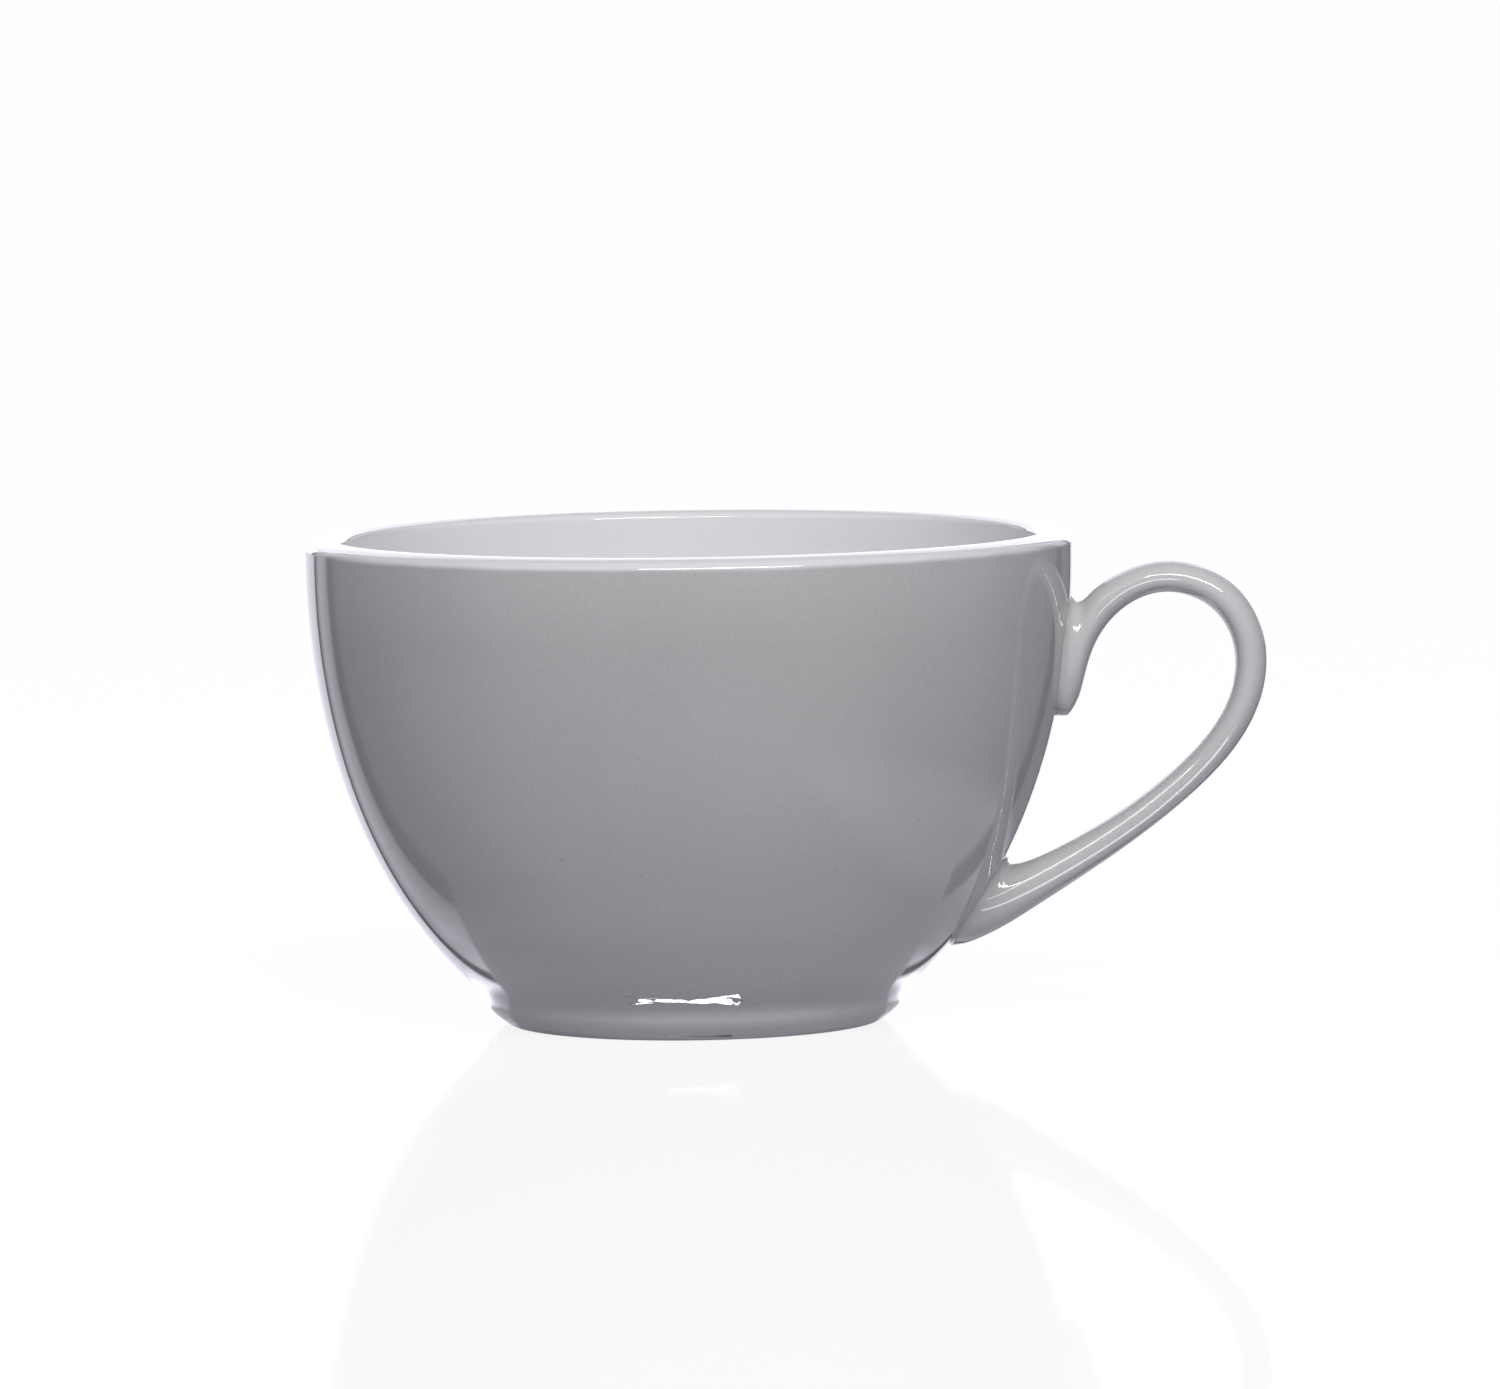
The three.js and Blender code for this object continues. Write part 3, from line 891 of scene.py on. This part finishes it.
# %% The tree that sweeps the handle's section along its run
def make_sweeping_tree():
    wiring, given, out = new_geometry_tree("sweep_the_handle", [
        ("Run", "NodeSocketGeometry", None),
        ("Section Steps", "NodeSocketInt", 32),
        ("Squareness", "NodeSocketFloat", 2.0),
        ("Finish", "NodeSocketMaterial", None),
    ])
    run = given.outputs["Run"]
    count = wiring.node("GeometryNodeAttributeDomainSize", {"Geometry": run}).outputs["Point Count"]
    columns = wiring.plus(given.outputs["Section Steps"], 1.0)
    grid = wiring.node("GeometryNodeMeshGrid", {"Vertices X": count, "Vertices Y": columns})
    index = wiring.node("GeometryNodeInputIndex").outputs[0]
    row = wiring.math("FLOOR", wiring.over(index, columns))
    column = wiring.minus(index, wiring.times(row, columns))

    def stored(value, kind):
        made = wiring.node("GeometryNodeSampleIndex", data_type=kind, domain="POINT")
        wiring.feed(made.inputs["Geometry"], run)
        wiring.feed(made.inputs["Value"], value)
        wiring.feed(made.inputs["Index"], row)
        return made.outputs[0]

    def named(name):
        made = wiring.node("GeometryNodeInputNamedAttribute", {"Name": name}, data_type="FLOAT")
        return stored(made.outputs[0], "FLOAT")

    place = wiring.node("GeometryNodeInputPosition").outputs[0]
    middle_x, _, middle_z = wiring.parts(stored(place, "FLOAT_VECTOR"))
    turn = wiring.times(column, wiring.over(math.tau, given.outputs["Section Steps"]))
    power = wiring.over(2.0, given.outputs["Squareness"])

    def rounded(value):
        size = wiring.math("POWER", wiring.math("ABSOLUTE", value), power)
        return wiring.times(wiring.math("SIGN", value), size)

    half_thick = wiring.times(named("thickness"), 0.5)
    half_wide = wiring.times(named("width"), 0.5)
    across = wiring.times(half_thick, rounded(wiring.math("COSINE", turn)))
    along = wiring.times(half_wide, rounded(wiring.math("SINE", turn)))
    lean = named("lean")
    x_place = wiring.math("MULTIPLY_ADD", across, wiring.math("COSINE", lean), middle_x)
    z_place = wiring.math("MULTIPLY_ADD", across, wiring.math("SINE", lean), middle_z)
    moved_to = wiring.joined(x_place, along, z_place)
    shape = grid.outputs["Mesh"]
    run_share = wiring.over(row, wiring.minus(count, 1.0))
    for name, value in (("run_share", run_share), ("across_mm", wiring.over(across, MM))):
        kept = wiring.node("GeometryNodeStoreNamedAttribute", {"Geometry": shape, "Name": name},
                           data_type="FLOAT", domain="POINT")
        wiring.feed(kept.inputs["Value"], value)
        shape = kept.outputs[0]
    moved = wiring.node("GeometryNodeSetPosition", {"Geometry": shape, "Position": moved_to})
    merged = wiring.node("GeometryNodeMergeByDistance", {
        "Geometry": moved.outputs[0], "Distance": SAME_PLACE,
    })
    smooth = wiring.node("GeometryNodeSetShadeSmooth", {"Geometry": merged.outputs[0]})
    real = wiring.node("GeometryNodeRealizeInstances", {0: smooth.outputs[0]})
    finished = wiring.node("GeometryNodeSetMaterial", {"Geometry": real.outputs[0]})
    wiring.feed(finished.inputs["Material"], given.outputs["Finish"])
    wiring.feed(out.inputs[0], finished.outputs[0])
    return wiring.tree


sweeping_tree = make_sweeping_tree()
print("sweeping tree has", len(sweeping_tree.nodes), "nodes")

# %% Sweep the handle, with both ends sunk into the wall
ROOT_DEPTH = 2.2
SECTION_STEPS = 56


def with_sunk_ends(stations):
    """Adds a sunk copy of both end sections and a point in each, which close the sweep."""
    rows = [list(row) for row in stations]
    for end in (0, -1):
        row = list(stations[end])
        slope = float(wall_slope(row[1]))
        length = math.hypot(1, slope)
        sunk = [row[0] - ROOT_DEPTH / length, row[1] + ROOT_DEPTH * slope / length, *row[2:]]
        tip = sunk[:2] + [0.0, 0.0, sunk[4]]
        rows = [tip, sunk] + rows if end == 0 else rows + [sunk, tip]
    return np.array(rows)


def sweep_handle():
    rows = with_sunk_ends(stations)
    line = bpy.data.meshes.new("handle_run")
    points = [(AXIS_X + row[0] * MM, 0.0, row[1] * MM) for row in rows]
    line.from_pydata(points, [(i, i + 1) for i in range(len(points) - 1)], [])
    kept = {"thickness": rows[:, 2] * MM, "width": rows[:, 3] * MM, "lean": np.radians(rows[:, 4])}
    for name, values in kept.items():
        stored = line.attributes.new(name, "FLOAT", "POINT")
        stored.data.foreach_set("value", values.astype(np.float32))
    return run_geometry_tree("handle_with_joints", line, sweeping_tree, {
        "Section Steps": SECTION_STEPS, "Squareness": HANDLE_SQUARENESS, "Finish": handle_glaze,
    })


handle = sweep_handle()
close_and_face_out(handle)

# %% [markdown]
# Where the handle meets the wall, slip and glaze fill the corner with a small hollow round. A
# bevel can't do this between two separate meshes. So each point of the handle that is near the
# wall is pushed outwards along the wall, more the nearer it is, as the arc of a fillet asks.

# %% Fillets where the handle meets the wall
FILLET = 1.0
FILLET_SINK = 1.5
FLATTEST_SIDE = 0.35
MOVED_AT_ALL = 0.01


def flare_onto_wall(piece):
    mesh = piece.data
    count = len(mesh.vertices)
    places, normals = np.zeros(count * 3), np.zeros(count * 3)
    mesh.vertices.foreach_get("co", places)
    mesh.vertex_normals.foreach_get("vector", normals)
    places, normals = places.reshape(-1, 3) / MM, normals.reshape(-1, 3)
    x, y, z = places[:, 0] - AXIS_X / MM, places[:, 1], places[:, 2]
    reach = np.hypot(x, y)
    slope = wall_slope(z)
    length = np.hypot(1, slope)
    gap = (reach - wall_radius(z)) / length
    wall_out = np.stack([x / reach / length, y / reach / length, -slope / length], axis=1)
    sideways = normals - (normals * wall_out).sum(1)[:, None] * wall_out
    size = np.linalg.norm(sideways, axis=1)
    sideways /= np.maximum(size, FLATTEST_SIDE)[:, None]
    near = np.clip(gap, 0, FILLET)
    push = FILLET - np.sqrt(np.maximum(FILLET ** 2 - (FILLET - near) ** 2, 0))
    push = np.where(gap < FILLET, push, 0) * np.clip((gap + FILLET_SINK) / FILLET_SINK, 0, 1)
    moved = places + sideways * push[:, None]
    mesh.vertices.foreach_set("co", (moved * MM).astype(np.float32).ravel())
    mesh.update()
    count = int((push > MOVED_AT_ALL).sum())
    print("fillet moved", count, "points, by up to", round(float(push.max()), 2), "mm")


flare_onto_wall(handle)

# %% [markdown]
# ## Who stands for what
#
# Each new piece rides on the cup's one body, and the CAD nodes whose place it fills are hidden:
# it stands for them. The two slip joints are under the same glaze as the handle, so the handle with
# its fillets stands for all three.

# %% Tie the pieces to the frame
for piece, slot, nodes in (
    (bowl, "white_porcelain", ["bowl"]),
    (coat, "grey_glaze", ["outer_glaze"]),
    (foot, "grey_glaze", ["foot_ring"]),
    (handle, "grey_glaze", ["handle", "upper_slip_joint", "lower_slip_joint"]),
):
    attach(piece, "root")
    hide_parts(*nodes)
    print(piece.name, "stands for", ", ".join(nodes))

# %% [markdown]
# ## The table and the surroundings
#
# The cup stands on a white glossy table in front of a white background. One white plane would do
# for the camera, but the glaze mirrors the table too, and a real studio table isn't white all
# over. So the table has three looks. The camera sees plain white with a faint mirror image. Soft
# light gets a plain pale surface, lit and shadowed like any other. Only the mirror image in the
# glaze gets the table of a studio, painted into the table's glow as light and shade: a bright
# wedge behind the cup, where the backdrop shines on it, duller beside it, and a painted contact
# shadow close to the foot. Its lengths are in millimetres from the cup's axis, across the view
# and away from the viewer, and the tones of the wedge's edge go by shares of its half width.

# %% Table as the glaze mirrors it
FLOOR_REACH = 14.0
FLOOR_LEVEL = -0.05
TABLE_WHITE = (1.0, 1.0, 1.0, 1.0)
AMBIENT_COLOUR = (1.04, 1.0, 1.12, 1.0)
VIEW_TURN = math.radians(5.0)

WEDGE_LEAN, WEDGE_OFFSET = -0.095, 1.0
WEDGE_GROWTH, WEDGE_HALF, WEDGE_LEAST = 0.425, 31.0, 10.0
LEFT_GROWTH = 0.13
MIDDLE_BLUR = 4.0
HORIZON_LEAN = -0.055
HORIZON = (-7.5, -5.0)
# Painted contact shadow: the table's glow is darker close to the foot, where the foot shades it.
CONTACT_SHADOW_REACH, CONTACT_SHADOW_TONE = (27.5, 30.0), 0.25
GLARE_REACH, GLARE_TONES = (30.0, 36.0), (2.6, 1.3)
NEAR_REACH, NEAR_TONE = (30.0, 40.0), 1.1
NEAR_SIDES = (18.0, 30.0)
RIGHT_START, RIGHT_TONE = (40.0, 60.0), 0.45
RIGHT_STOP = (85.0, 115.0)
BESIDE_TONES = [(25, 0.35), (32, 0.6), (42, 0.6), (52, 0.3), (250, 0.25)]
WEDGE_EDGE = [(0.0, 1.0), (0.96, 1.0), (1.0, 0.0)]
GAP_TONES = [
    (1.0, 0.0), (1.04, 0.0), (1.08, 1.0), (1.60, 1.0), (1.68, 0.25), (1.90, 0.25), (2.05, 1.0),
]
BAND_TONES = [(1.04, 0.0), (1.10, 0.25), (1.24, 0.70), (1.50, 0.50), (1.60, 0.28), (1.66, 0.0)]


def turned_with_view(wiring, place):
    """Splits a place into its share across the view and its share away from the viewer."""
    x, y, _ = wiring.parts(place)
    cosine, sine = math.cos(VIEW_TURN), math.sin(VIEW_TURN)
    across = wiring.math("MULTIPLY_ADD", x, cosine, wiring.times(y, sine))
    away = wiring.math("MULTIPLY_ADD", y, cosine, wiring.times(x, -sine))
    return across, away


def soft_step(wiring, value, span, before, after):
    """A number that goes softly from one to another over a span in millimetres."""
    return ranged(wiring, value, span[0] * MM, span[1] * MM, before, after, smooth=True)


def wedge_share(wiring, across, away):
    """How far out a place is, as a share of the bright wedge behind the cup, and if it is left."""
    centre = wiring.math("MULTIPLY_ADD", away, WEDGE_LEAN, WEDGE_OFFSET * MM)
    half = wiring.math("MULTIPLY_ADD", away, WEDGE_GROWTH, WEDGE_HALF * MM)
    half = wiring.math("MAXIMUM", half, WEDGE_LEAST * MM)
    offset = wiring.minus(across, centre)
    leftwards = ranged(wiring, offset, -MIDDLE_BLUR * MM, MIDDLE_BLUR * MM, 1.0, 0.0)
    half = wiring.times(half, wiring.math("MULTIPLY_ADD", leftwards, LEFT_GROWTH, 1.0))
    return wiring.over(wiring.math("ABSOLUTE", offset), half), leftwards


def table_beside(wiring, reach, across, behind, contact_shadow):
    """The table's painted light beside the cup: pale near it outside the painted contact shadow, and a
    little more so on the right.
    """
    beside = steps_of(wiring, reach, [(stop * MM, tone) for stop, tone in BESIDE_TONES])
    near = wiring.times(soft_step(wiring, reach, NEAR_REACH, NEAR_TONE, 0.0), contact_shadow)
    sides = soft_step(wiring, wiring.math("ABSOLUTE", across), NEAR_SIDES, 0.0, 1.0)
    beside = wiring.math("MULTIPLY_ADD", wiring.times(near, behind), sides, beside)
    right = soft_step(wiring, across, RIGHT_START, 0.0, RIGHT_TONE)
    right = wiring.times(right, soft_step(wiring, reach, RIGHT_STOP, 1.0, 0.0))
    return wiring.plus(beside, right)


def mirrored_table(wiring):
    """How bright the glossy table looks in the cup, painted into its glow: bright behind it, dull beside it
    and far off, with a painted contact shadow by the foot.
    """
    place = wiring.node("ShaderNodeTexCoord").outputs["Object"]
    to_axis = {0: place, 1: (-AXIS_X, 0.0, 0.0)}
    shifted = wiring.node("ShaderNodeVectorMath", to_axis, operation="ADD").outputs[0]
    reach = wiring.node("ShaderNodeVectorMath", {0: shifted}, operation="LENGTH").outputs["Value"]
    across, away = turned_with_view(wiring, shifted)
    share, leftwards = wedge_share(wiring, across, away)
    slanted = wiring.math("MULTIPLY_ADD", across, HORIZON_LEAN, away)
    behind = soft_step(wiring, slanted, HORIZON, 0.0, 1.0)
    contact_shadow = soft_step(wiring, reach, CONTACT_SHADOW_REACH, CONTACT_SHADOW_TONE, 1.0)
    low, high = GLARE_REACH
    glare = wiring.times(ranged(wiring, reach, low * MM, high * MM, *GLARE_TONES), contact_shadow)
    bright = wiring.times(steps_of(wiring, share, WEDGE_EDGE), wiring.times(behind, glare))
    band = steps_of(wiring, share, BAND_TONES)
    bright = wiring.plus(bright, wiring.times(band, wiring.times(leftwards, behind)))
    gap = wiring.blend(behind, 1.0, steps_of(wiring, share, GAP_TONES))
    beside = table_beside(wiring, reach, across, behind, contact_shadow)
    return wiring.plus(bright, wiring.times(gap, beside))


print("bright wedge,", 2 * WEDGE_HALF, "mm wide beside the axis, seen only in the glaze")


# %% Table
TABLE_PALE = (0.8, 0.8, 0.8, 1.0)
TABLE_DIM = (0.56, 0.55, 0.60, 1.0)
TABLE_GLOW = 1.02
LIT_SHARE = 0.10
MIRROR_SHARE = 0.06
MIRROR_ROUGHNESS = 0.05


def make_table_finish():
    finish = bpy.data.materials.new("table_white")
    finish.use_nodes = True
    finish.node_tree.nodes.clear()
    wiring = Wiring(finish.node_tree)
    path = wiring.node("ShaderNodeLightPath").outputs
    seen = wiring.math("MAXIMUM", path["Is Camera Ray"], path["Is Transmission Ray"])
    lit = wiring.node("ShaderNodeBsdfDiffuse", {"Color": TABLE_PALE}).outputs[0]
    dim = wiring.node("ShaderNodeBsdfDiffuse", {"Color": TABLE_DIM}).outputs[0]
    glow = wiring.node("ShaderNodeEmission", {"Color": TABLE_WHITE, "Strength": TABLE_GLOW}).outputs[0]
    mirror = wiring.node("ShaderNodeBsdfGlossy", {"Color": TABLE_WHITE, "Roughness": MIRROR_ROUGHNESS})
    dull = wiring.node("ShaderNodeEmission", {"Color": AMBIENT_COLOUR, "Strength": mirrored_table(wiring)})

    def shared(share, first, second):
        return wiring.node("ShaderNodeMixShader", {0: share, 1: first, 2: second}).outputs[0]

    shown = shared(MIRROR_SHARE, shared(LIT_SHARE, glow, lit), mirror.outputs[0])
    unseen = shared(path["Is Glossy Ray"], dim, dull.outputs[0])
    wiring.node("ShaderNodeOutputMaterial", {"Surface": shared(seen, unseen, shown)})
    return finish


def make_table():
    mesh = bpy.data.meshes.new("table")
    corners = [(sx * FLOOR_REACH, sy * FLOOR_REACH, FLOOR_LEVEL * MM)
               for sx, sy in ((-1, -1), (1, -1), (1, 1), (-1, 1))]
    mesh.from_pydata(corners, [], [(0, 1, 2, 3)])
    mesh.materials.append(make_table_finish())
    table = bpy.data.objects.new("table", mesh)
    bpy.context.scene.collection.objects.link(table)


make_table()
print("table reaches", FLOOR_REACH, "m each way")

# %% [markdown]
# The world does the same as the table. The camera sees it white, soft light gets an even, dim
# light from it, and only the mirror image in the lip and the handle gets a backdrop with edges:
# bright behind the cup, a dark gap, a paler stretch, a thin streak on the right, and the dim room.

# %% World: white behind the cup, soft and darker beside it
AMBIENT = 0.22
SIDE_TONE = 0.15
AROUND_OFFSET = math.radians(2.5)
AROUND_TONES = [
    (0, 1.7), (14, 1.7), (21.5, 2.4), (22.8, 0.05), (24, 0.05), (28, 0.80), (35, 0.70), (39, 0.05),
    (43, 0.05), (46, SIDE_TONE),
]
STREAK_TONES = [(53.0, 0.0), (53.5, 1.2), (54.3, 1.2), (54.8, -0.12), (60, -0.12), (62, 0.0)]
BACKDROP_TOP = (0.55, 0.75)


def by_angle(stops):
    return [(math.radians(angle), tone) for angle, tone in stops]


def make_world():
    world = bpy.data.worlds.new("studio")
    bpy.context.scene.world = world
    world.use_nodes = True
    world.node_tree.nodes.clear()
    wiring = Wiring(world.node_tree)
    path = wiring.node("ShaderNodeLightPath").outputs
    seen = wiring.math("MAXIMUM", path["Is Camera Ray"], path["Is Transmission Ray"])
    aim = wiring.node("ShaderNodeTexCoord").outputs["Generated"]
    across, away = turned_with_view(wiring, aim)
    turned = wiring.plus(wiring.math("ARCTAN2", across, away), AROUND_OFFSET)
    around = steps_of(wiring, wiring.math("ABSOLUTE", turned), by_angle(AROUND_TONES))
    around = wiring.plus(around, steps_of(wiring, turned, by_angle(STREAK_TONES)))
    low = ranged(wiring, wiring.parts(aim)[2], *BACKDROP_TOP, 1.0, 0.0)
    tone = wiring.math("MULTIPLY_ADD", wiring.minus(around, SIDE_TONE), low, SIDE_TONE)
    mirrored = wiring.math("MAXIMUM", seen, path["Is Glossy Ray"])
    strength = wiring.blend(mirrored, AMBIENT, wiring.blend(seen, tone, 1.0))
    colour = mixed(wiring, seen, AMBIENT_COLOUR, TABLE_WHITE)
    light = wiring.node("ShaderNodeBackground", {"Color": colour, "Strength": strength})
    wiring.node("ShaderNodeOutputWorld", {"Surface": light.outputs[0]})


make_world()
print("ambient light", AMBIENT)

# %% [markdown]
# ## Lamps
#
# Two soft boxes hang in front of the cup, above the viewer. The stronger one, a little to the
# right, gives the lip, the handle and the neck their highlights. The wide one fills from the left.


# %% Soft boxes
CUP_MIDDLE = Vector((AXIS_X, 0, 30 * MM))


def soft_box(name, azimuth, elevation, distance, width, depth, strength):
    """An area lamp that looks at the cup. Strength is the light it gives on a surface facing it."""
    a, e = math.radians(azimuth), math.radians(elevation)
    back = Vector((math.sin(a) * math.cos(e), -math.cos(a) * math.cos(e), math.sin(e)))
    lamp = bpy.data.lights.new(name, "AREA")
    lamp.shape = "RECTANGLE"
    lamp.size, lamp.size_y = width, depth
    lamp.energy = strength * math.pi * math.pi * distance * distance
    holder = bpy.data.objects.new(name, lamp)
    holder.location = CUP_MIDDLE + back * distance
    holder.rotation_mode = "QUATERNION"
    holder.rotation_quaternion = (-back).to_track_quat("-Z", "Y")
    bpy.context.scene.collection.objects.link(holder)
    print(f"{name}: {width} x {depth} m, {distance} m away")


soft_box("key_box", azimuth=15, elevation=39, distance=1.1, width=0.84, depth=0.12, strength=0.72)
soft_box("fill_box", azimuth=-25, elevation=36, distance=1.1, width=1.20, depth=0.05, strength=0.09)

# %% [markdown]
# ## Camera
#
# The camera is far away with a long lens, about five degrees above level, and turned a little
# about the cup. It isn't shifted: it aims a little beside the cup, so that the cup stands where
# it should in the frame, and it is tipped by less than a degree about its own line of sight.

# %% Camera
IMAGE_WIDTH, IMAGE_HEIGHT = 1500, 1389
SENSOR = 36.0
FOCAL_PIXELS = 10436.0
CAMERA_AZIMUTH = 5.0
CAMERA_ELEVATION = 5.18
CAMERA_DISTANCE = 1.305
CAMERA_ROLL = 0.80
AIM_PIXEL = (692.0, 780.6)


def make_camera():
    a, e, roll = (math.radians(v) for v in (CAMERA_AZIMUTH, CAMERA_ELEVATION, CAMERA_ROLL))
    back = Vector((math.sin(a) * math.cos(e), -math.cos(a) * math.cos(e), math.sin(e)))
    level = Vector((math.cos(a), math.sin(a), 0))
    up = back.cross(level)
    right = math.cos(roll) * level - math.sin(roll) * up
    top = math.sin(roll) * level + math.cos(roll) * up
    beside = (IMAGE_WIDTH / 2 - AIM_PIXEL[0]) / FOCAL_PIXELS
    above = (AIM_PIXEL[1] - IMAGE_HEIGHT / 2) / FOCAL_PIXELS
    forward = (-back + beside * right + above * top).normalized()
    right = (right - right.dot(forward) * forward).normalized()
    top = right.cross(forward)
    lens = bpy.data.cameras.new("camera")
    lens.sensor_width = SENSOR
    lens.lens = FOCAL_PIXELS * SENSOR / IMAGE_WIDTH
    lens.clip_start, lens.clip_end = 0.05, 60.0
    camera = bpy.data.objects.new("camera", lens)
    turn = Matrix((right, top, -forward)).transposed().to_4x4()
    camera.matrix_world = Matrix.Translation(CUP_MIDDLE + back * CAMERA_DISTANCE) @ turn
    bpy.context.scene.collection.objects.link(camera)
    bpy.context.scene.camera = camera
    print(f"camera lens {lens.lens:.1f} mm, {CAMERA_DISTANCE} m from the cup")


make_camera()
bpy.context.scene.view_settings.view_transform = "Standard"
